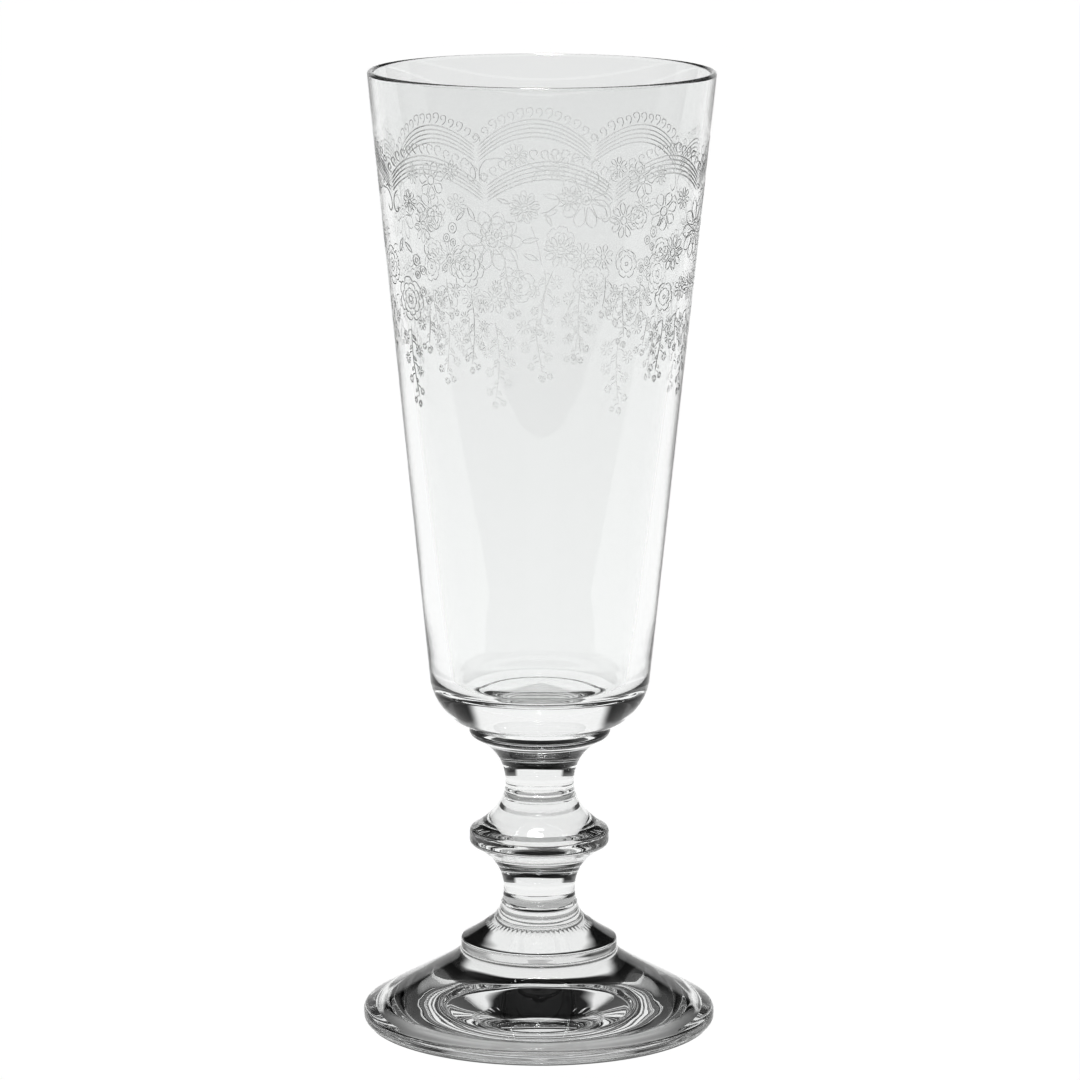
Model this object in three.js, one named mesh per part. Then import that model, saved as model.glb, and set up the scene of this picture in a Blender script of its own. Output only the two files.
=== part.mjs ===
// Champagne flute with an etched bowl and a knopped stem, in pressed clear glass.
// Millimetres. The glass stands on z = 0 and its axis is +Z.
// Seven turned pieces are stacked on flat joint faces, from the foot up to the bowl.
import * as THREE from 'three';

// ---- Driving dimensions ----

const FOOT_RADIUS = 32.8;
const RIM_RADIUS = 31.8;
const RIM_WALL = 1.2;

// Heights of the stacked pieces, which add up to 178
const FOOT_HEIGHT = 14.2;
const COLLAR_HEIGHT = 5.9;
const LOWER_STEM_HEIGHT = 12.9;
const KNOP_HEIGHT = 4.5;
const UPPER_STEM_HEIGHT = 16.5;
const MERESE_HEIGHT = 2.2;
const BOWL_HEIGHT = 121.8;

// Radii of the flat joint faces between the pieces
const FOOT_JOINT = 14.55;
const COLLAR_JOINT = 8.25;
const KNOP_UNDER_JOINT = 11.25;
const KNOP_OVER_JOINT = 11.4;
const STEM_TOP_JOINT = 11.8;
const BOWL_SEAT = 13.1;

// Stem and knop
const LOWER_WAIST = 6.67;
const UPPER_WAIST = 6.37;
const KNOP_RADIUS = 13;

// Foot underside: a resting ring round a shallow recess with an almost flat ceiling
const RESTING_RING_OUTER = 31.2;
const RESTING_RING_INNER = 29;
const RECESS_RADIUS = 28.6;
const RECESS_EDGE_DEPTH = 0.3;
const RECESS_DEPTH = 2.4;
const RECESS_CENTRE_DEPTH = 2.6;
const RECESS_FLAT_RADIUS = 17;

// Foot top: a plain cone, which falls this far outwards for each millimetre down
const FOOT_CONE_RUN = 1.78;
const FOOT_CONE_FOOT = 3.15;
const FOOT_CONE_TOP = 10.63;

// Bowl: where the round heel meets the straight wall, and the inside
const HEEL_HEIGHT = 8.8;
const HEEL_RADIUS = 20.35;
const INNER_CORNER_HEIGHT = 10.6;
const INNER_CORNER_RADIUS = 16.6;
const FLOOR_RADIUS = 13;
const FLOOR_HEIGHT = 7.1;
const FLOOR_CENTRE_HEIGHT = 7.9;

const SEGMENTS = 48;
const CURVE_STEPS = 4;

// ---- Outlines: x is the radius and y the height above the piece's own base ----

function footOutline() {
  const coneEdge = FOOT_RADIUS - 0.95;
  const coneTop = coneEdge - FOOT_CONE_RUN * (FOOT_CONE_TOP - FOOT_CONE_FOOT);
  const outline = new THREE.Path();
  outline.moveTo(0, RECESS_CENTRE_DEPTH);
  outline.lineTo(RECESS_FLAT_RADIUS, RECESS_DEPTH);
  outline.quadraticCurveTo(RECESS_RADIUS - 3.1, RECESS_DEPTH - 0.1, RECESS_RADIUS, RECESS_EDGE_DEPTH);
  outline.lineTo(RESTING_RING_INNER, 0);
  outline.lineTo(RESTING_RING_OUTER, 0);
  outline.quadraticCurveTo(FOOT_RADIUS, 0, FOOT_RADIUS, 1.3);
  outline.lineTo(FOOT_RADIUS, 2);
  outline.quadraticCurveTo(FOOT_RADIUS, 2.65, coneEdge, FOOT_CONE_FOOT);
  outline.lineTo(coneTop, FOOT_CONE_TOP);
  outline.quadraticCurveTo(FOOT_JOINT, 12.9, FOOT_JOINT, FOOT_HEIGHT);
  outline.lineTo(0, FOOT_HEIGHT);
  return outline;
}

function collarOutline() {
  const outline = new THREE.Path();
  outline.moveTo(0, 0);
  outline.lineTo(FOOT_JOINT, 0);
  outline.lineTo(FOOT_JOINT, 1.2);
  outline.quadraticCurveTo(FOOT_JOINT, 1.6, FOOT_JOINT - 0.45, 1.75);
  outline.quadraticCurveTo(9.5, 4.4, COLLAR_JOINT, COLLAR_HEIGHT);
  outline.lineTo(0, COLLAR_HEIGHT);
  return outline;
}

function lowerStemOutline() {
  const waistHeight = 5.1;
  const outline = new THREE.Path();
  outline.moveTo(0, 0);
  outline.lineTo(COLLAR_JOINT, 0);
  outline.quadraticCurveTo(LOWER_WAIST, 1.86, LOWER_WAIST, waistHeight);
  outline.quadraticCurveTo(LOWER_WAIST, 9.85, KNOP_UNDER_JOINT, LOWER_STEM_HEIGHT);
  outline.lineTo(0, LOWER_STEM_HEIGHT);
  return outline;
}

function knopOutline() {
  const outline = new THREE.Path();
  outline.moveTo(0, 0);
  outline.lineTo(KNOP_UNDER_JOINT, 0);
  outline.lineTo(KNOP_RADIUS - 0.5, 0.75);
  outline.quadraticCurveTo(KNOP_RADIUS, 1.05, KNOP_RADIUS, 1.6);
  outline.lineTo(KNOP_RADIUS, 3);
  outline.quadraticCurveTo(KNOP_RADIUS, 3.6, KNOP_RADIUS - 0.6, 3.95);
  outline.lineTo(KNOP_OVER_JOINT, KNOP_HEIGHT);
  outline.lineTo(0, KNOP_HEIGHT);
  return outline;
}

function upperStemOutline() {
  const waistHeight = 7.8;
  const outline = new THREE.Path();
  outline.moveTo(0, 0);
  outline.lineTo(KNOP_OVER_JOINT, 0);
  outline.quadraticCurveTo(UPPER_WAIST, 3.87, UPPER_WAIST, waistHeight);
  outline.quadraticCurveTo(UPPER_WAIST, 13.64, STEM_TOP_JOINT, UPPER_STEM_HEIGHT);
  outline.lineTo(0, UPPER_STEM_HEIGHT);
  return outline;
}

function mereseOutline() {
  const outline = new THREE.Path();
  outline.moveTo(0, 0);
  outline.lineTo(STEM_TOP_JOINT, 0);
  outline.quadraticCurveTo(BOWL_SEAT - 0.2, 0.55, BOWL_SEAT, 1.3);
  outline.lineTo(BOWL_SEAT, MERESE_HEIGHT);
  outline.lineTo(0, MERESE_HEIGHT);
  return outline;
}

function bowlOutline() {
  const lip = RIM_WALL / 2;
  const outline = new THREE.Path();
  outline.moveTo(0, 0);
  outline.lineTo(BOWL_SEAT, 0);
  outline.lineTo(BOWL_SEAT + 2.5, 1.4);
  outline.quadraticCurveTo(BOWL_SEAT + 3.28, 1.85, BOWL_SEAT + 3.9, 2.55);
  outline.quadraticCurveTo(HEEL_RADIUS - 0.45, 5.46, HEEL_RADIUS, HEEL_HEIGHT);
  outline.lineTo(RIM_RADIUS, BOWL_HEIGHT - lip);
  outline.absarc(RIM_RADIUS - lip, BOWL_HEIGHT - lip, lip, 0, Math.PI, false);
  outline.lineTo(INNER_CORNER_RADIUS, INNER_CORNER_HEIGHT);
  outline.quadraticCurveTo(INNER_CORNER_RADIUS - 0.6, 7.3, FLOOR_RADIUS, FLOOR_HEIGHT);
  outline.quadraticCurveTo(FLOOR_RADIUS / 2, FLOOR_HEIGHT - 0.2, 0, FLOOR_CENTRE_HEIGHT);
  return outline;
}

// ---- Pieces, from the table up ----

const pieces = [
  { name: 'foot', height: FOOT_HEIGHT, outline: footOutline() },
  { name: 'foot_collar', height: COLLAR_HEIGHT, outline: collarOutline() },
  { name: 'lower_stem', height: LOWER_STEM_HEIGHT, outline: lowerStemOutline() },
  { name: 'knop', height: KNOP_HEIGHT, outline: knopOutline() },
  { name: 'upper_stem', height: UPPER_STEM_HEIGHT, outline: upperStemOutline() },
  { name: 'merese', height: MERESE_HEIGHT, outline: mereseOutline() },
  { name: 'bowl', height: BOWL_HEIGHT, outline: bowlOutline() },
];

// Clear soda-lime glass, very slightly grey
function clearGlass() {
  return new THREE.MeshStandardMaterial({ color: 0xf2f5f5, roughness: 0.03, metalness: 0 });
}

function turnedMesh(piece) {
  const geometry = new THREE.LatheGeometry(piece.outline.getPoints(CURVE_STEPS), SEGMENTS);
  geometry.rotateX(Math.PI / 2);
  const mesh = new THREE.Mesh(geometry, clearGlass());
  mesh.name = piece.name;
  return mesh;
}

const flute = new THREE.Group();
let base = 0;
for (const piece of pieces) {
  const mesh = turnedMesh(piece);
  mesh.position.z = base;
  flute.add(mesh);
  base += piece.height;
}

export default flute;
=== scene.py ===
"""Champagne flute with an etched bowl and a knopped stem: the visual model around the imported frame."""
import math

import bmesh
import bpy
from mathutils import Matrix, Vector
from mathutils.geometry import delaunay_2d_cdt
from mathutils.kdtree import KDTree


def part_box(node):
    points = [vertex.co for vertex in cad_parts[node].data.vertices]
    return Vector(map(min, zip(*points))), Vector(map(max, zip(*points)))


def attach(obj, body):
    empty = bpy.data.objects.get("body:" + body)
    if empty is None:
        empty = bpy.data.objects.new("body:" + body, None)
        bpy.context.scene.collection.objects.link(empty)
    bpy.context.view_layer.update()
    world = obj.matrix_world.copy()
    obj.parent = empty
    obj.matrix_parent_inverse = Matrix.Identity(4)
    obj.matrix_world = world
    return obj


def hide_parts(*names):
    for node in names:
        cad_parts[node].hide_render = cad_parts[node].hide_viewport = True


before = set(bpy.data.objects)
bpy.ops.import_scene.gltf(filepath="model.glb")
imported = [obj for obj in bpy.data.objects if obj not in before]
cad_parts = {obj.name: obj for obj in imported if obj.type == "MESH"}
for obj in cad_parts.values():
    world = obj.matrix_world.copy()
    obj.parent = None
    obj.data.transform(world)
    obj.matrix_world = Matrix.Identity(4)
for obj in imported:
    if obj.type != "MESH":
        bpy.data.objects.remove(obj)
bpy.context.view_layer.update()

MM = 0.001
TURN = 2 * math.pi


# ---- Sizes, in millimetres ----

NODES = ("foot", "foot_collar", "lower_stem", "knop", "upper_stem", "merese", "bowl")
BOXES = {node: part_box(node) for node in NODES}


def base(node):
    """Height of a node's lowest point."""
    return BOXES[node][0][2] / MM


def top(node):
    """Height of a node's highest point."""
    return BOXES[node][1][2] / MM


def radius(node):
    """Largest radius of a node."""
    return BOXES[node][1][0] / MM


FOOT_RADIUS = radius("foot")
FOOT_JOINT = radius("foot_collar")
KNOP_RADIUS = radius("knop")
BOWL_SEAT = radius("merese")
RIM_RADIUS = radius("bowl")
KNOP_UNDER_JOINT = radius("lower_stem")
STEM_TOP_JOINT = radius("upper_stem")

# Sizes of the CAD model that its boxes don't give
COLLAR_JOINT = 8.25
KNOP_OVER_JOINT = 11.4
LOWER_WAIST = 6.67
UPPER_WAIST = 6.37
RIM_WALL = 1.2
RESTING_RING_OUTER = 31.2
RESTING_RING_INNER = 29
RECESS_RADIUS = 28.6
RECESS_EDGE_DEPTH = 0.3
RECESS_DEPTH = 2.4
RECESS_CENTRE_DEPTH = 2.6
RECESS_FLAT_RADIUS = 17
FOOT_CONE_RUN = 1.78
FOOT_CONE_FOOT = 3.15
FOOT_CONE_TOP = 10.63
HEEL_HEIGHT = 8.8
HEEL_RADIUS = 20.35
INNER_CORNER_HEIGHT = 10.6
INNER_CORNER_RADIUS = 16.6
FLOOR_RADIUS = 13
FLOOR_HEIGHT = 7.1
FLOOR_CENTRE_HEIGHT = 7.9

# Fine mould seams at heights above the table, and a ring of dots on the step's upper sweep
SEAM_BEAD = 0.13
SEAM_WIDTH = 0.36
SEAMS_OVER_KNOP = (44.0, 42.85)
SEAM_OVER_STEP = 22.6
DOTS_ROUND_STEP = 64
DOTS_BELOW_STEM = 1.4


# ---- Turned outlines ----

class Outline:
    """Radius and height points, in millimetres, of one turned piece from its lower joint to its upper one."""

    def __init__(self, r, z):
        self.points = [(r, z)]

    def line(self, r, z, steps=1):
        r0, z0 = self.points[-1]
        for i in range(1, steps + 1):
            t = i / steps
            self.points.append((r0 + (r - r0) * t, z0 + (z - z0) * t))
        return self

    def curve(self, control, end, steps=14):
        r0, z0 = self.points[-1]
        for i in range(1, steps + 1):
            t = i / steps
            a, b, c = (1 - t) ** 2, 2 * t * (1 - t), t * t
            self.points.append((a * r0 + b * control[0] + c * end[0], a * z0 + b * control[1] + c * end[1]))
        return self

    def arc(self, centre, radii, start, end, steps=14):
        for i in range(1, steps + 1):
            a = math.radians(start + (end - start) * i / steps)
            self.points.append((centre[0] + radii[0] * math.cos(a), centre[1] + radii[1] * math.sin(a)))
        return self


def with_seams(line, heights):
    """Adds a fine mould seam, a bead all the way round, at each height."""
    for height in heights:
        for k, ((r0, z0), (r1, z1)) in enumerate(zip(line.points, line.points[1:])):
            if z0 < height <= z1 and min(r0, r1) > SEAM_BEAD:
                r = r0 + (r1 - r0) * (height - z0) / (z1 - z0)
                half = SEAM_WIDTH / 2
                low = (r0 + (r1 - r0) * (height - half - z0) / (z1 - z0), height - half)
                high = (r0 + (r1 - r0) * (height + half - z0) / (z1 - z0), height + half)
                kept = [p for p in line.points[:k + 1] if not height - half <= p[1] <= height + half]
                rest = [p for p in line.points[k + 1:] if not height - half <= p[1] <= height + half]
                line.points = kept + [low, (r + SEAM_BEAD, height), high] + rest
                break
    return line


def foot_outline():
    z = base("foot")
    cone_edge = FOOT_RADIUS - 0.95
    cone_top = cone_edge - FOOT_CONE_RUN * (FOOT_CONE_TOP - FOOT_CONE_FOOT)
    line = Outline(0, z + RECESS_CENTRE_DEPTH)
    line.line(RECESS_FLAT_RADIUS, z + RECESS_DEPTH, 10)
    line.curve((RECESS_RADIUS - 3.1, z + RECESS_DEPTH - 0.1), (RECESS_RADIUS, z + RECESS_EDGE_DEPTH), 20)
    line.line(RESTING_RING_INNER, z)
    line.line(RESTING_RING_OUTER, z, 3)
    line.curve((FOOT_RADIUS, z), (FOOT_RADIUS, z + 1.3))
    line.line(FOOT_RADIUS, z + 2)
    line.curve((FOOT_RADIUS, z + 2.65), (cone_edge, z + FOOT_CONE_FOOT))
    line.line(cone_top, z + FOOT_CONE_TOP, 16)
    line.curve((FOOT_JOINT, z + 12.9), (FOOT_JOINT, top("foot")))
    return line.line(0, top("foot"))


def collar_outline():
    z = base("foot_collar")
    line = Outline(0, z).line(FOOT_JOINT, z).line(FOOT_JOINT, z + 1.2, 3)
    line.curve((FOOT_JOINT, z + 1.6), (FOOT_JOINT - 0.45, z + 1.75), 8)
    line.curve((9.5, z + 4.4), (COLLAR_JOINT, top("foot_collar")), 24)
    return line.line(0, top("foot_collar"))


def lower_stem_outline():
    z = base("lower_stem")
    line = Outline(0, z).line(COLLAR_JOINT, z)
    line.curve((LOWER_WAIST, z + 1.86), (LOWER_WAIST, z + 5.1), 20)
    line.curve((LOWER_WAIST, z + 9.85), (KNOP_UNDER_JOINT, top("lower_stem")), 32)
    line.line(0, top("lower_stem"))
    return with_seams(line, (SEAM_OVER_STEP,))


def knop_outline():
    z = base("knop")
    line = Outline(0, z).line(KNOP_UNDER_JOINT, z).line(KNOP_RADIUS - 0.5, z + 0.75, 3)
    line.curve((KNOP_RADIUS, z + 1.05), (KNOP_RADIUS, z + 1.6), 8)
    line.line(KNOP_RADIUS, z + 3, 4)
    line.curve((KNOP_RADIUS, z + 3.6), (KNOP_RADIUS - 0.6, z + 3.95), 8)
    line.line(KNOP_OVER_JOINT, top("knop"), 3)
    return line.line(0, top("knop"))


def upper_stem_outline():
    z = base("upper_stem")
    line = Outline(0, z).line(KNOP_OVER_JOINT, z)
    line.curve((UPPER_WAIST, z + 3.87), (UPPER_WAIST, z + 7.8), 28)
    line.curve((UPPER_WAIST, z + 13.64), (STEM_TOP_JOINT, top("upper_stem")), 32)
    line.line(0, top("upper_stem"))
    return with_seams(line, SEAMS_OVER_KNOP)


def merese_outline():
    z = base("merese")
    line = Outline(0, z).line(STEM_TOP_JOINT, z)
    line.curve((BOWL_SEAT - 0.2, z + 0.55), (BOWL_SEAT, z + 1.3), 10)
    line.line(BOWL_SEAT, top("merese"), 3)
    return line.line(0, top("merese"))


def bowl_outline():
    z = base("bowl")
    lip = RIM_WALL / 2
    line = Outline(0, z).line(BOWL_SEAT, z).line(BOWL_SEAT + 2.5, z + 1.4, 3)
    line.curve((BOWL_SEAT + 3.28, z + 1.85), (BOWL_SEAT + 3.9, z + 2.55), 8)
    line.curve((HEEL_RADIUS - 0.45, z + 5.46), (HEEL_RADIUS, z + HEEL_HEIGHT), 20)
    line.line(wall_radius(BAND_LOW), BAND_LOW, 12)
    line.line(wall_radius(BAND_HIGH), BAND_HIGH)
    line.line(RIM_RADIUS, top("bowl") - lip, 2)
    line.arc((RIM_RADIUS - lip, top("bowl") - lip), (lip, lip), 0, 180, 12)
    line.line(INNER_CORNER_RADIUS, z + INNER_CORNER_HEIGHT, 10)
    line.curve((INNER_CORNER_RADIUS - 0.6, z + 7.3), (FLOOR_RADIUS, z + FLOOR_HEIGHT), 20)
    return line.curve((FLOOR_RADIUS / 2, z + FLOOR_HEIGHT - 0.2), (0, z + FLOOR_CENTRE_HEIGHT), 16)


# ---- Meshes ----

SEGMENTS = 256
SHARP_TURN = math.radians(24)


def pressed_wave(angle, share, height):
    """The slow unevenness of pressed glass, from -1 to 1. It fades out at the joints of each piece."""
    slow = math.sin(2 * angle + 1.3)
    slow += 0.6 * math.sin(3 * angle + 0.35 * height)
    slow += 0.4 * math.sin(5 * angle - 0.6 * height)
    return slow / 2 * math.sin(math.pi * share)


def turned(name, outline, materials, joints=(0, -1), left_open=None, wave=0.0, dots=None):
    """A piece turned about +Z, with fused faces on the bands of its outline that joints lists.

    left_open is the point above which one band has no faces. wave is the size of the unevenness.
    dots is the height of a dotted ring.
    """
    points = outline.points
    low_end, high_end = points[0][1], points[-1][1]
    mesh = bmesh.new()
    rings = []
    for r, z in points:
        if r == 0:
            rings.append([mesh.verts.new((0, 0, z * MM))])
            continue
        ring = []
        share = min(max((z - low_end) / (high_end - low_end), 0), 1)
        for i in range(SEGMENTS):
            a = TURN * i / SEGMENTS
            uneven = r + wave * pressed_wave(a, share, z)
            if dots and abs(z - dots) < SEAM_WIDTH:
                uneven += SEAM_BEAD / 2 * math.sin(DOTS_ROUND_STEP * a)
            ring.append(mesh.verts.new((uneven * MM * math.sin(a), -uneven * MM * math.cos(a), z * MM)))
        rings.append(ring)
    bands = len(rings) - 1
    fused = {j % bands for j in joints}
    for k in range(bands):
        if points[k] == left_open:
            continue
        low, high = rings[k], rings[k + 1]
        for i in range(SEGMENTS):
            j = (i + 1) % SEGMENTS
            if len(low) == 1:
                corners = (low[0], high[j], high[i])
            elif len(high) == 1:
                corners = (low[i], low[j], high[0])
            else:
                corners = (low[i], low[j], high[j], high[i])
            face = mesh.faces.new(corners)
            face.smooth = True
            face.material_index = 1 if k in fused else 0
    mesh.normal_update()
    for edge in mesh.edges:
        if edge.calc_face_angle(0) > SHARP_TURN:
            edge.smooth = False
    data = bpy.data.meshes.new(name)
    mesh.to_mesh(data)
    mesh.free()
    for material in materials:
        data.materials.append(material)
    piece = bpy.data.objects.new(name, data)
    bpy.context.collection.objects.link(piece)
    return piece


# ---- Etched border, drawn flat: s runs round the bowl and h is the height above the table ----

REPEATS = 4
REF_RADIUS = 28.5
PERIOD = TURN * REF_RADIUS / REPEATS
SCALLOP = PERIOD / 2
BAND_LOW, BAND_HIGH = 116.0, 170.0
LINE = 0.26
HAIR = 0.2
CURVE_CUTS = 12
CIRCLE_STEP = 0.4
ARCH_LINES = 5
CURLS = 14
FLORET_PETALS = 5


def polar(centre, angle, distance):
    a = math.radians(angle)
    return centre[0] + distance * math.cos(a), centre[1] + distance * math.sin(a)


def smooth(points, step):
    """A curve through the points, cut into even steps."""
    dense = []
    for i in range(len(points) - 1):
        p0, p1, p2 = points[max(i - 1, 0)], points[i], points[i + 1]
        p3 = points[min(i + 2, len(points) - 1)]
        for k in range(CURVE_CUTS):
            t = k / CURVE_CUTS
            dense.append(tuple(
                0.5 * (2 * b + (c - a) * t + (2 * a - 5 * b + 4 * c - d) * t ** 2
                       + (3 * b - a - 3 * c + d) * t ** 3)
                for a, b, c, d in zip(p0, p1, p2, p3)))
    dense.append(tuple(points[-1]))
    lengths = [math.dist(a, b) for a, b in zip(dense, dense[1:])]
    total = sum(lengths)
    count = max(2, round(total / step))
    even, walked, i = [dense[0]], 0.0, 0
    for k in range(1, count):
        target = total * k / count
        while walked + lengths[i] < target:
            walked += lengths[i]
            i += 1
        t = (target - walked) / lengths[i]
        even.append(tuple(a + (b - a) * t for a, b in zip(dense[i], dense[i + 1])))
    even.append(dense[-1])
    return even


class Etching:
    """The line work of one repeat. A stroke is a row of (s, h, half width) points."""

    def __init__(self):
        self.strokes = []

    def stroke(self, points, width=LINE, step=0.5, taper=0.7):
        path = smooth(points, step)
        run = [0.0]
        for a, b in zip(path, path[1:]):
            run.append(run[-1] + math.dist(a, b))
        taper = min(taper, run[-1] / 2.2)
        self.strokes.append([
            (s, h, width / 2 * min(1, (0.02 + r) / taper, (0.02 + run[-1] - r) / taper))
            for (s, h), r in zip(path, run)])

    def circle(self, centre, radius):
        count = max(7, round(TURN * radius / CIRCLE_STEP))
        ring = [polar(centre, 360 * i / count, radius) for i in range(count + 1)]
        ring[-1] = ring[0]
        self.strokes.append([(s, h, HAIR / 2) for s, h in ring])

    def petal(self, centre, angle, inner, outer, girth, full=0.6):
        """A loop that leaves the centre, swells, comes to a tip and returns."""
        belly = inner + (outer - inner) * full
        side = math.degrees(math.atan2(girth / 2, belly))
        start = polar(centre, angle, inner)
        tip = polar(centre, angle, outer)
        for sign in (1, -1):
            self.stroke((
                start,
                polar(centre, angle + sign * side * 0.8, inner + (belly - inner) * 0.45),
                polar(centre, angle + sign * side, math.hypot(belly, girth / 2)),
                polar(centre, angle + sign * side * 0.55, outer - (outer - belly) * 0.35),
                tip), HAIR, 0.45, 0.5)

    def daisy(self, centre, radius, count, girth, phase, eye=0.22):
        self.circle(centre, radius * eye)
        for i in range(count):
            self.petal(centre, phase + 360 * i / count, radius * (eye + 0.04), radius, girth)

    def rosette(self, centre, radius, lobes, rings=(1.0, 0.66, 0.34), phase=0):
        """Rings of lobes round a small eye, each ring turned half a lobe from the last."""
        for k, share in enumerate(rings):
            for i in range(lobes):
                a0 = phase + 360 * (i + 0.5 * k) / lobes
                a1 = a0 + 360 / lobes
                mid = (a0 + a1) / 2
                low, high = radius * share * 0.8, radius * share
                self.stroke((polar(centre, a0, low), polar(centre, (a0 + mid) / 2, high),
                             polar(centre, (a1 + mid) / 2, high), polar(centre, a1, low)), HAIR, 0.4, 0.4)
        self.circle(centre, radius * 0.14)

    def leaf(self, start, angle, length, girth):
        tip = polar(start, angle, length)
        spread = math.degrees(math.atan2(girth, length))
        for sign in (1, -1):
            self.stroke((start, polar(start, angle + sign * spread, length * 0.5), tip), HAIR, 0.45, 0.5)

    def floret(self, centre, radius, phase):
        for i in range(FLORET_PETALS):
            angle = phase + 360 * i / FLORET_PETALS
            self.petal(centre, angle, radius * 0.15, radius, radius * 0.62, 0.62)

    def curl(self, start, angle, size):
        """A small open scroll that stands on its start."""
        self.stroke((
            start,
            polar(start, angle + 38, size * 0.55),
            polar(start, angle + 16, size * 0.96),
            polar(start, angle - 14, size * 0.92),
            polar(start, angle - 24, size * 0.62),
            polar(start, angle - 2, size * 0.5)), HAIR, 0.34, 0.35)


def arch(share, line):
    """Height of one of the five arched lines, share of the way across a scallop."""
    crown = 164.9 - 0.8 * line
    cusp = 159.9 - 0.675 * line
    across = 2 * share - 1
    return cusp + (crown - cusp) * (1 - across ** 2)


def scallop(etching, start):
    """Five arched lines with a row of curls that stand square on the outer one."""
    gap = 0.012
    shares = [gap + (1 - 2 * gap) * i / 12 for i in range(13)]
    for line in range(ARCH_LINES):
        etching.stroke([(start + SCALLOP * t, arch(t, line)) for t in shares], LINE, 0.62, 0.9)
    for i in range(CURLS):
        share = (i + 0.5) / CURLS
        lean = 90 + math.degrees(math.atan2(-40 * (share - 0.5), SCALLOP))
        etching.curl((start + SCALLOP * share, arch(share, 0) + 0.35), lean, 1.75 + 0.15 * (i % 3))


def c_scrolls(etching, centre, size):
    """A pair of C-shaped scrolls, face to face."""
    spiral = ((70, 1.5), (100, 1.15), (150, 0.95), (200, 0.95), (250, 0.8), (300, 0.5), (350, 0.3))
    for sign in (-1, 1):
        points = []
        for angle, distance in spiral:
            s, h = polar((0, 0), angle, distance * size)
            points.append((centre[0] + sign * (size * 0.9 + s * 0.75), centre[1] + h))
        etching.stroke(points, LINE, 0.45, 0.6)


def spray(etching, top, length, sway, pairs, phase=0):
    """A hanging stem with florets on both sides, smaller towards its tip."""
    stem = []
    for i in range(9):
        t = i / 8
        stem.append((top[0] + sway * math.sin(phase + 3.4 * t), top[1] - length * t))
    etching.stroke(stem, HAIR, 0.6, 1.5)
    for i in range(pairs):
        t = (i + 0.6) / pairs
        s = top[0] + sway * math.sin(phase + 3.4 * t)
        h = top[1] - length * t
        side = 1 if i % 2 else -1
        size = 1.5 - 0.85 * t
        out = 1.9 - 0.8 * t
        twig = ((s, h), (s + side * out * 0.6, h - 0.2), (s + side * out, h - out * 0.55))
        etching.stroke(twig, HAIR, 0.45, 0.4)
        etching.floret((s + side * (out + size * 0.5), h - out * 0.55 - size * 0.5), size, 90 + 40 * i)
        etching.leaf((s, h - 0.8), -90 - side * 52, 1.9 - 0.9 * t, 0.5)
    etching.floret((stem[-1][0], stem[-1][1] - 0.7), 0.75, -90)


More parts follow.
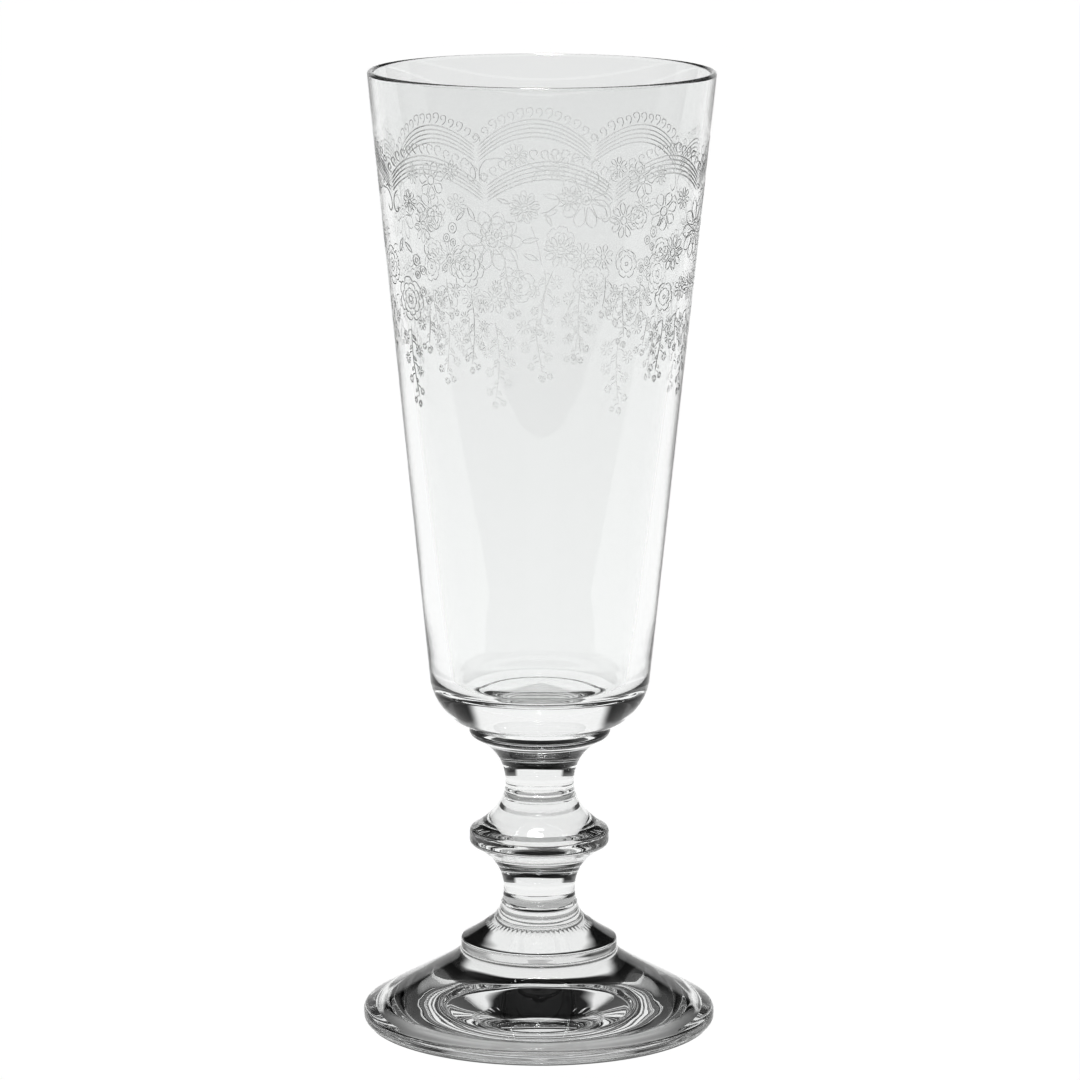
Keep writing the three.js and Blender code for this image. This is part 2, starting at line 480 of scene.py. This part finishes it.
def draw_border():
    etching = Etching()
    degree = PERIOD / 90

    def at(degrees, height):
        return degrees * degree, height

    for k in range(2):
        scallop(etching, k * SCALLOP)
    # Under the first scallop: two daisies on one stem
    etching.daisy(at(14, 156.3), 2.7, 8, 1.1, 12)
    etching.daisy(at(29.5, 158.2), 2.4, 8, 1.0, 30)
    etching.stroke((at(18.5, 155.6), at(22, 155.9), at(25.5, 157.3)), HAIR)
    etching.stroke((at(33.5, 157.6), at(37, 157.9), at(41, 157.7)), LINE)
    etching.leaf(at(9, 157.2), 160, 2.6, 0.7)
    etching.leaf(at(21, 155.5), -62, 2.6, 0.7)
    c_scrolls(etching, at(45, 155.2), 1.9)
    # The large flower under the cusp
    etching.daisy(at(2, 150.4), 5.6, 10, 2.3, 0, 0.2)
    etching.circle(at(2, 150.4), 0.55)
    etching.leaf(at(12.5, 150.3), 12, 3.4, 0.9)
    etching.leaf(at(13, 148.2), -22, 3.2, 0.9)
    etching.leaf(at(82.5, 147.2), 200, 3.2, 0.9)
    # Rosettes, berries and leaves between
    etching.rosette(at(38, 143.6), 3.5, 6)
    etching.rosette(at(52, 138.2), 4.0, 7, (1.0, 0.74, 0.48, 0.24), 20)
    etching.daisy(at(26.5, 148.8), 3.1, 9, 1.1, 8)
    etching.stroke((at(29.5, 145.9), at(32, 145.2), at(34, 144.8)), HAIR)
    etching.stroke((at(24, 145.4), at(21, 141.5), at(19.5, 137.8)), HAIR)
    etching.stroke((at(33, 141.2), at(30, 138.5), at(28.5, 135.5)), HAIR)
    berries = (
        (58, 145.6, 1.0), (61.5, 143.9, 0.8), (58.2, 142.9, 0.7), (60.5, 140.0, 0.85), (63.5, 138.5, 0.7))
    for s, h, r in berries:
        etching.circle(at(s, h), r)
        etching.circle(at(s, h), r * 0.4)
    etching.leaf(at(56, 146.8), 142, 3.0, 0.8)
    etching.leaf(at(47, 146.5), 60, 3.3, 0.9)
    # Under the second scallop: a five-petalled flower with scrolling leaves
    etching.daisy(at(67.5, 154.8), 3.6, 7, 1.9, 14, 0.24)
    etching.daisy(at(57, 156.2), 2.0, 7, 0.9, 5)
    etching.daisy(at(79, 156.6), 2.1, 7, 0.9, 40)
    etching.stroke((at(60.5, 157.2), at(62.0, 157.5), at(63.2, 156.9)), HAIR)
    etching.stroke((at(74.5, 156.2), at(73.2, 157.4), at(72, 157.2)), HAIR)
    etching.daisy(at(75, 146.9), 3.4, 9, 1.25, 0)
    etching.rosette(at(67.5, 147.9), 2.2, 5, (1.0, 0.6), 0)
    etching.rosette(at(12, 142.3), 2.9, 6, (1.0, 0.62), 10)
    etching.daisy(at(2.5, 139.8), 2.7, 8, 1.0, 20)
    etching.daisy(at(83.5, 139.9), 2.4, 7, 1.0, 0)
    etching.rosette(at(72, 139.0), 2.6, 6, (1.0, 0.6), 25)
    # Hanging sprays, longest under the cusps
    spray(etching, at(2, 136.6), 15.5, 0.8, 8)
    spray(etching, at(19.3, 137.6), 11.5, -0.7, 6, 0.6)
    spray(etching, at(33.5, 138.8), 9.5, 0.5, 5, 1.2)
    spray(etching, at(51.5, 133.6), 14.0, -0.8, 7, 0.3)
    spray(etching, at(71.5, 135.8), 11.0, 0.6, 6, 0.9)
    spray(etching, at(62.5, 137.0), 7.0, 0.4, 3, 0.9)
    spray(etching, at(82.5, 136.8), 7.0, -0.4, 3, 0.2)
    return etching


# ---- The border as grooves in the bowl's outer wall ----

# A groove is half as deep as half its width, and the first cusp lies this many segments round from -Y
GROOVE_SLOPE = 0.5
FIRST_CUSP = -14
ROUND_REPEAT = 1
ROW_SPACING = 1.5
SAMPLE = 0.08
SHALLOWEST = 0.003
CLOSEST = 1e-5
WELD = 0.002
WALL_FIT = 0.02


def groove_samples(strokes):
    """Centre-line points of every stroke at close steps, to measure distances from."""
    samples = []
    for stroke in strokes:
        for a, b in zip(stroke, stroke[1:]):
            count = max(1, math.ceil(math.dist(a[:2], b[:2]) / SAMPLE))
            for k in range(count):
                samples.append([p + (q - p) * k / count for p, q in zip(a, b)])
        samples.append(list(stroke[-1]))
    tree = KDTree(len(samples))
    for i, (s, h, _) in enumerate(samples):
        tree.insert((s, h, 0), i)
    tree.balance()
    return samples, tree


def groove_depth(point, samples, tree):
    """Depth of a V groove at a point of the wall; zero outside every stroke."""
    deepest = 0.0
    for _, i, distance in tree.find_range((point[0], point[1], 0), LINE / 2):
        deepest = max(deepest, samples[i][2] - distance)
    return deepest * GROOVE_SLOPE


def repeat_mesh(etching):
    """One repeat, triangulated along its strokes: points (s, h, depth) and triangles (a, b, c, etched)."""
    strokes = []
    for stroke in etching.strokes:
        for shift in (-PERIOD, 0, PERIOD):
            moved = [(s + shift, h, w) for s, h, w in stroke]
            if max(p[0] for p in moved) > -ROUND_REPEAT and min(p[0] for p in moved) < PERIOD + ROUND_REPEAT:
                strokes.append(moved)
    samples, tree = groove_samples(strokes)
    points, edges = [], []

    def chain(row):
        first = len(points)
        points.extend(row)
        edges.extend((first + i, first + i + 1) for i in range(len(row) - 1))

    columns = SEGMENTS // REPEATS
    rows = round((BAND_HIGH - BAND_LOW) / ROW_SPACING)
    heights = [BAND_LOW + (BAND_HIGH - BAND_LOW) * j / rows for j in range(rows + 1)]
    for h in (BAND_LOW, BAND_HIGH):
        chain([(PERIOD * i / columns, h) for i in range(columns + 1)])
    for s in (0, PERIOD):
        chain([(s, h) for h in heights])
    for j, h in enumerate(heights[1:-1]):
        for i in range(1, columns):
            spot = (PERIOD * (i + 0.5 * (j % 2)) / columns, h)
            if tree.find((*spot, 0))[2] > LINE:
                points.append(spot)
    for stroke in strokes:
        sides = []
        for i, (s, h, w) in enumerate(stroke):
            a, b = stroke[max(i - 1, 0)], stroke[min(i + 1, len(stroke) - 1)]
            if stroke[0][:2] == stroke[-1][:2] and i in (0, len(stroke) - 1):
                a, b = stroke[-2], stroke[1]
            run = math.dist(a[:2], b[:2])
            sides.append(((b[1] - a[1]) / run * w, (a[0] - b[0]) / run * w))
        chain([(s, h) for s, h, _ in stroke])
        for sign in (1, -1):
            chain([(s + sign * ds, h + sign * dh) for (s, h, _), (ds, dh) in zip(stroke, sides)])
    flat = [Vector(p) for p in points]
    coords, _, triangles, _, _, _ = delaunay_2d_cdt(flat, edges, [], 0, CLOSEST)
    inside = []
    for tri in triangles:
        s = sum(coords[i][0] for i in tri) / 3
        h = sum(coords[i][1] for i in tri) / 3
        if 0 < s < PERIOD and BAND_LOW < h < BAND_HIGH:
            inside.append((*tri, groove_depth((s, h), samples, tree) > SHALLOWEST))
    return [(c[0], c[1], groove_depth(c, samples, tree)) for c in coords], inside


def wall_radius(height):
    """Outer radius of the bowl's straight wall."""
    low, high = base("bowl") + HEEL_HEIGHT, top("bowl") - RIM_WALL / 2
    return HEEL_RADIUS + (RIM_RADIUS - HEEL_RADIUS) * (height - low) / (high - low)


def engrave(bowl, etching):
    """Fills the open band of the bowl's wall with the engraved repeats."""
    points, triangles = repeat_mesh(etching)
    data = bowl.data
    mesh = bmesh.new()
    mesh.from_mesh(data)
    used = sorted({i for tri in triangles for i in tri[:3]})
    for k in range(REPEATS):
        start = TURN * (FIRST_CUSP / SEGMENTS + k / REPEATS)
        placed = {}
        for i in used:
            s, h, depth = points[i]
            a = start + s / REF_RADIUS
            r = wall_radius(h) - depth
            placed[i] = mesh.verts.new((r * MM * math.sin(a), -r * MM * math.cos(a), h * MM))
        for a, b, c, etched in triangles:
            face = mesh.faces.new((placed[a], placed[b], placed[c]))
            face.smooth = not etched
            face.material_index = 2 if etched else 0
    bmesh.ops.remove_doubles(mesh, verts=[v for v in mesh.verts if v.is_boundary], dist=WELD * MM)
    mesh.to_mesh(data)
    mesh.free()
    smooth_wall(data)


def smooth_wall(data):
    """Gives the clear parts of the straight wall the exact normals of its cone."""
    lean = (wall_radius(BAND_HIGH) - wall_radius(BAND_LOW)) / (BAND_HIGH - BAND_LOW)
    lowest = base("bowl") + HEEL_HEIGHT + 1
    on_wall = []
    for vertex in data.vertices:
        x, y, z = vertex.co / MM
        on_wall.append(z > lowest and abs(math.hypot(x, y) - wall_radius(z)) < WALL_FIT)
    normals = [Vector(corner.vector) for corner in data.corner_normals]
    for face in data.polygons:
        if face.material_index != 0 or not all(on_wall[i] for i in face.vertices):
            continue
        for loop, i in zip(face.loop_indices, face.vertices):
            x, y, _ = data.vertices[i].co
            normals[loop] = Vector((x, y, -lean * math.hypot(x, y))).normalized()
    data.normals_split_custom_set(normals)


# ---- Materials ----

GLASS_IOR = 1.52
# Each pair: the glass's own tint at the bowl's lowest point, then a darker grey at the rim that is painted
# shade
BOWL_TINT_AND_SHADE = ((0.975, 0.98, 0.978), (0.93, 0.935, 0.933))
ETCHED_TINT_AND_SHADE = ((0.84, 0.845, 0.84), (0.78, 0.785, 0.78))
STEM_TINT = (0.93, 0.935, 0.932)
CLEAR_HAZE = (0.0, 0.012)
ETCHED_HAZE = (0.2, 0.4)
HAZE_SCALE = 90


def glass(name, tint, haze_range, wave_scale, wave_height):
    """Clear glass with slow waves in its surface and a haze that comes and goes."""
    material = bpy.data.materials.new(name)
    material.use_nodes = True
    nodes, links = material.node_tree.nodes, material.node_tree.links
    shader = nodes["Principled BSDF"]
    shader.inputs["Base Color"].default_value = (*tint, 1)
    shader.inputs["IOR"].default_value = GLASS_IOR
    shader.inputs["Transmission Weight"].default_value = 1
    coords = nodes.new("ShaderNodeTexCoord")
    cloud = nodes.new("ShaderNodeTexNoise")
    cloud.inputs["Scale"].default_value = HAZE_SCALE
    cloud.inputs["Detail"].default_value = 1.5
    links.new(coords.outputs["Object"], cloud.inputs["Vector"])
    haze = nodes.new("ShaderNodeMapRange")
    haze.inputs["From Min"].default_value = 0.45
    haze.inputs["From Max"].default_value = 0.8
    haze.inputs["To Min"].default_value = haze_range[0]
    haze.inputs["To Max"].default_value = haze_range[1]
    links.new(cloud.outputs["Fac"], haze.inputs["Value"])
    links.new(haze.outputs["Result"], shader.inputs["Roughness"])
    swell = nodes.new("ShaderNodeTexNoise")
    swell.inputs["Scale"].default_value = wave_scale
    swell.inputs["Detail"].default_value = 0.6
    links.new(coords.outputs["Object"], swell.inputs["Vector"])
    bump = nodes.new("ShaderNodeBump")
    bump.inputs["Strength"].default_value = 1
    bump.inputs["Distance"].default_value = wave_height * MM
    links.new(swell.outputs["Fac"], bump.inputs["Height"])
    links.new(bump.outputs["Normal"], shader.inputs["Normal"])
    return material


def glass_with_painted_shade(name, tint_and_shade, haze_range, wave_scale, wave_height):
    """Glass that has its own tint at the bowl's lowest point and darkens slowly up to its rim: the darkening
    is painted shade.
    """
    material = glass(name, tint_and_shade[0], haze_range, wave_scale, wave_height)
    nodes, links = material.node_tree.nodes, material.node_tree.links
    coords = nodes.new("ShaderNodeTexCoord")
    split = nodes.new("ShaderNodeSeparateXYZ")
    share = nodes.new("ShaderNodeMapRange")
    share.inputs["From Min"].default_value = base("bowl") * MM
    share.inputs["From Max"].default_value = top("bowl") * MM
    # Painted shade: the base colour darkens from the bowl's lowest point up to its rim
    tint = nodes.new("ShaderNodeMix")
    tint.data_type = "RGBA"
    tint.inputs["A"].default_value = (*tint_and_shade[0], 1)
    tint.inputs["B"].default_value = (*tint_and_shade[1], 1)
    links.new(coords.outputs["Object"], split.inputs[0])
    links.new(split.outputs["Z"], share.inputs["Value"])
    links.new(share.outputs["Result"], tint.inputs["Factor"])
    links.new(tint.outputs["Result"], nodes["Principled BSDF"].inputs["Base Color"])
    return material


def fused_joint():
    """Inside the glass, where two pieces have melted into one, nothing shows."""
    material = bpy.data.materials.new("fused_joint")
    material.use_nodes = True
    material.node_tree.nodes["Principled BSDF"].inputs["Alpha"].default_value = 0
    return material


# ---- Pieces ----

bowl_glass = glass_with_painted_shade("bowl_glass", BOWL_TINT_AND_SHADE, CLEAR_HAZE, 45, 0.03)
etched_glass = glass_with_painted_shade("etched_glass", ETCHED_TINT_AND_SHADE, ETCHED_HAZE, 400, 0.02)
stem_glass = glass("stem_glass", STEM_TINT, CLEAR_HAZE, 110, 0.1)
joint = fused_joint()

foot = turned("foot_pressed", foot_outline(), (stem_glass, joint), joints=(-1,), wave=0.16)
collar = turned(
    "foot_step", collar_outline(), (stem_glass, joint), wave=0.05, dots=top("foot_collar") - DOTS_BELOW_STEM)
lower_stem = turned("stem_below_knop", lower_stem_outline(), (stem_glass, joint), wave=0.06)
knop = turned("knop_disc", knop_outline(), (stem_glass, joint), wave=0.08)
upper_stem = turned("stem_above_knop", upper_stem_outline(), (stem_glass, joint), wave=0.06)
merese = turned("merese_flange", merese_outline(), (stem_glass, joint))
bowl = turned(
    "bowl_cup", bowl_outline(), (bowl_glass, joint, etched_glass), joints=(0,),
    left_open=(wall_radius(BAND_LOW), BAND_LOW))
engrave(bowl, draw_border())

for piece, node, slot in (
    (foot, "foot", "stem_glass"),
    (collar, "foot_collar", "stem_glass"),
    (lower_stem, "lower_stem", "stem_glass"),
    (knop, "knop", "stem_glass"),
    (upper_stem, "upper_stem", "stem_glass"),
    (merese, "merese", "stem_glass"),
    (bowl, "bowl", "bowl_glass"),
):
    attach(piece, "root")
    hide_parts(node)


# ---- Studio: a glowing white table in a light tent, with a grey pad of painted shadow under the foot ----

TABLE_RADIUS_M = 6
TABLE_DROP = 0.3
# The pad under the foot glows dimmer than the table: painted shadow, seen through the glass foot, darkest
# towards the foot's edge
SHADOW_PAD_DROP = 0.1
SHADOW_PAD_RADIUS = 32
SHADOW_PAD_FADE = (24, 31)
SHADOW_PAD_GLOW = (0.65, 0.3)
LAMP_PLACE_M = (-0.03, 0.25, 1.1)
LAMP_WIDTH_M = 0.12
LAMP_POWER = 3
CAMERA_PLACE_M = (-0.00007, -0.9706, 0.2756)
CAMERA_DOWN = 10.759
CAMERA_ROLL = 0.188
CAMERA_LENS = 178.4
VIEW_GAMMA = 0.62
GLASS_BOUNCES = 32

# Brightness of the tent by height, as (sine of the elevation, grey), for each direction seen from the glass
TENT_BACK = (
    (0.0, 1.0), (0.24, 1.0), (0.30, 0.01), (0.63, 0.01),
    (0.68, 0.9), (0.92, 0.9), (0.97, 0.3), (1.0, 0.02))
TENT_CORNER = (
    (0.0, 0.3), (0.12, 0.15), (0.16, 0.03), (0.58, 0.05),
    (0.68, 0.6), (0.92, 0.5), (0.97, 0.05), (1.0, 0.02))
TENT_SIDE = ((0.0, 0.2), (0.6, 0.15), (0.7, 0.08), (0.95, 0.02))
TENT_FRONT = ((0.0, 0.08), (0.3, 0.04), (0.6, 0.02), (0.95, 0.02))


def emission_material(name, strength):
    material = bpy.data.materials.new(name)
    material.use_nodes = True
    shader = material.node_tree.nodes["Principled BSDF"]
    shader.inputs["Base Color"].default_value = (0.02, 0.02, 0.02, 1)
    shader.inputs["Roughness"].default_value = 1
    shader.inputs["Specular IOR Level"].default_value = 0
    shader.inputs["Emission Color"].default_value = (1, 1, 1, 1)
    shader.inputs["Emission Strength"].default_value = strength
    return material


def disc(name, radius_m, height, material):
    mesh = bmesh.new()
    bmesh.ops.create_circle(mesh, cap_ends=True, segments=128, radius=radius_m)
    data = bpy.data.meshes.new(name)
    mesh.to_mesh(data)
    mesh.free()
    data.materials.append(material)
    placed = bpy.data.objects.new(name, data)
    placed.location.z = height
    bpy.context.collection.objects.link(placed)
    return placed


def studio_floor():
    """The table, and a pad under the foot that glows dimmer than the table: a painted shadow that is greyer
    towards the foot's edge.
    """
    disc("floor", TABLE_RADIUS_M, -TABLE_DROP * MM, emission_material("glowing_table", 1.0))
    # Painted shadow: a glowing grey disc under the foot, dimmer towards the foot's edge
    shade_pad = emission_material("painted_shadow_pad", 0)
    disc("shade_pad", SHADOW_PAD_RADIUS * MM, -SHADOW_PAD_DROP * MM, shade_pad)
    nodes, links = shade_pad.node_tree.nodes, shade_pad.node_tree.links
    coords = nodes.new("ShaderNodeTexCoord")
    length = nodes.new("ShaderNodeVectorMath")
    length.operation = "LENGTH"
    ramp = nodes.new("ShaderNodeMapRange")
    ramp.interpolation_type = "SMOOTHSTEP"
    ramp.inputs["From Min"].default_value = SHADOW_PAD_FADE[0] * MM
    ramp.inputs["From Max"].default_value = SHADOW_PAD_FADE[1] * MM
    ramp.inputs["To Min"].default_value = SHADOW_PAD_GLOW[0]
    ramp.inputs["To Max"].default_value = SHADOW_PAD_GLOW[1]
    links.new(coords.outputs["Object"], length.inputs[0])
    links.new(length.outputs["Value"], ramp.inputs["Value"])
    links.new(ramp.outputs["Result"], nodes["Principled BSDF"].inputs["Emission Strength"])


def light_tent():
    """Behind the glass a bright wall, a dark gap and an overhead sheet, then dim sides and a dark front."""
    world = bpy.data.worlds.new("light_tent")
    bpy.context.scene.world = world
    world.use_nodes = True
    nodes, links = world.node_tree.nodes, world.node_tree.links
    coords = nodes.new("ShaderNodeTexCoord")
    split = nodes.new("ShaderNodeSeparateXYZ")
    level = nodes.new("ShaderNodeCombineXYZ")
    around = nodes.new("ShaderNodeVectorMath")
    around.operation = "NORMALIZE"
    facing = nodes.new("ShaderNodeSeparateXYZ")
    links.new(coords.outputs["Generated"], split.inputs[0])
    links.new(split.outputs["X"], level.inputs["X"])
    links.new(split.outputs["Y"], level.inputs["Y"])
    links.new(level.outputs[0], around.inputs[0])
    links.new(around.outputs[0], facing.inputs[0])

    def heights(stops):
        ramp = nodes.new("ShaderNodeValToRGB")
        links.new(split.outputs["Z"], ramp.inputs[0])
        elements = ramp.color_ramp.elements
        while len(elements) < len(stops):
            elements.new(0.5)
        for element, (place, grey) in zip(elements, stops):
            element.position = place
            element.color = (grey, grey, grey, 1)
        return ramp.outputs["Color"]

    def blend(behind, ahead, start, end):
        """From one part of the tent to the next, between two angles from straight behind the glass."""
        share = nodes.new("ShaderNodeMapRange")
        share.interpolation_type = "SMOOTHSTEP"
        share.inputs["From Min"].default_value = math.cos(math.radians(start))
        share.inputs["From Max"].default_value = math.cos(math.radians(end))
        links.new(facing.outputs["Y"], share.inputs["Value"])
        mix = nodes.new("ShaderNodeMix")
        mix.data_type = "RGBA"
        links.new(share.outputs["Result"], mix.inputs["Factor"])
        links.new(behind, mix.inputs["A"])
        links.new(ahead, mix.inputs["B"])
        return mix.outputs["Result"]

    tent = blend(heights(TENT_BACK), heights(TENT_CORNER), 26, 34)
    tent = blend(tent, heights(TENT_SIDE), 46, 58)
    tent = blend(tent, heights(TENT_FRONT), 95, 125)
    links.new(tent, nodes["Background"].inputs["Color"])


def top_light():
    data = bpy.data.lights.new("top_light", "AREA")
    data.shape = "DISK"
    data.size = LAMP_WIDTH_M
    data.energy = LAMP_POWER
    lamp = bpy.data.objects.new("top_light", data)
    lamp.location = LAMP_PLACE_M
    lamp.rotation_euler = (-math.atan2(LAMP_PLACE_M[1], LAMP_PLACE_M[2]), 0, 0)
    bpy.context.collection.objects.link(lamp)


def photo_camera():
    """The photograph's viewing angle: 10.8 degrees down, from about a metre away."""
    data = bpy.data.cameras.new("camera")
    data.sensor_width = 36
    data.lens = CAMERA_LENS
    data.clip_start = 0.01
    data.clip_end = 50
    camera = bpy.data.objects.new("camera", data)
    camera.rotation_mode = "XYZ"
    camera.location = CAMERA_PLACE_M
    camera.rotation_euler = (math.radians(90 - CAMERA_DOWN), 0, 0)
    camera.rotation_euler.rotate_axis("Z", math.radians(CAMERA_ROLL))
    bpy.context.collection.objects.link(camera)
    bpy.context.scene.camera = camera


studio_floor()
light_tent()
top_light()
photo_camera()

scene = bpy.context.scene
scene.view_settings.view_transform = "Standard"
scene.view_settings.look = "None"
scene.view_settings.gamma = VIEW_GAMMA
scene.cycles.max_bounces = GLASS_BOUNCES
scene.cycles.transmission_bounces = GLASS_BOUNCES
scene.cycles.glossy_bounces = GLASS_BOUNCES // 2
scene.cycles.transparent_max_bounces = GLASS_BOUNCES
scene.cycles.sample_clamp_indirect = 10
scene.cycles.use_denoising = True
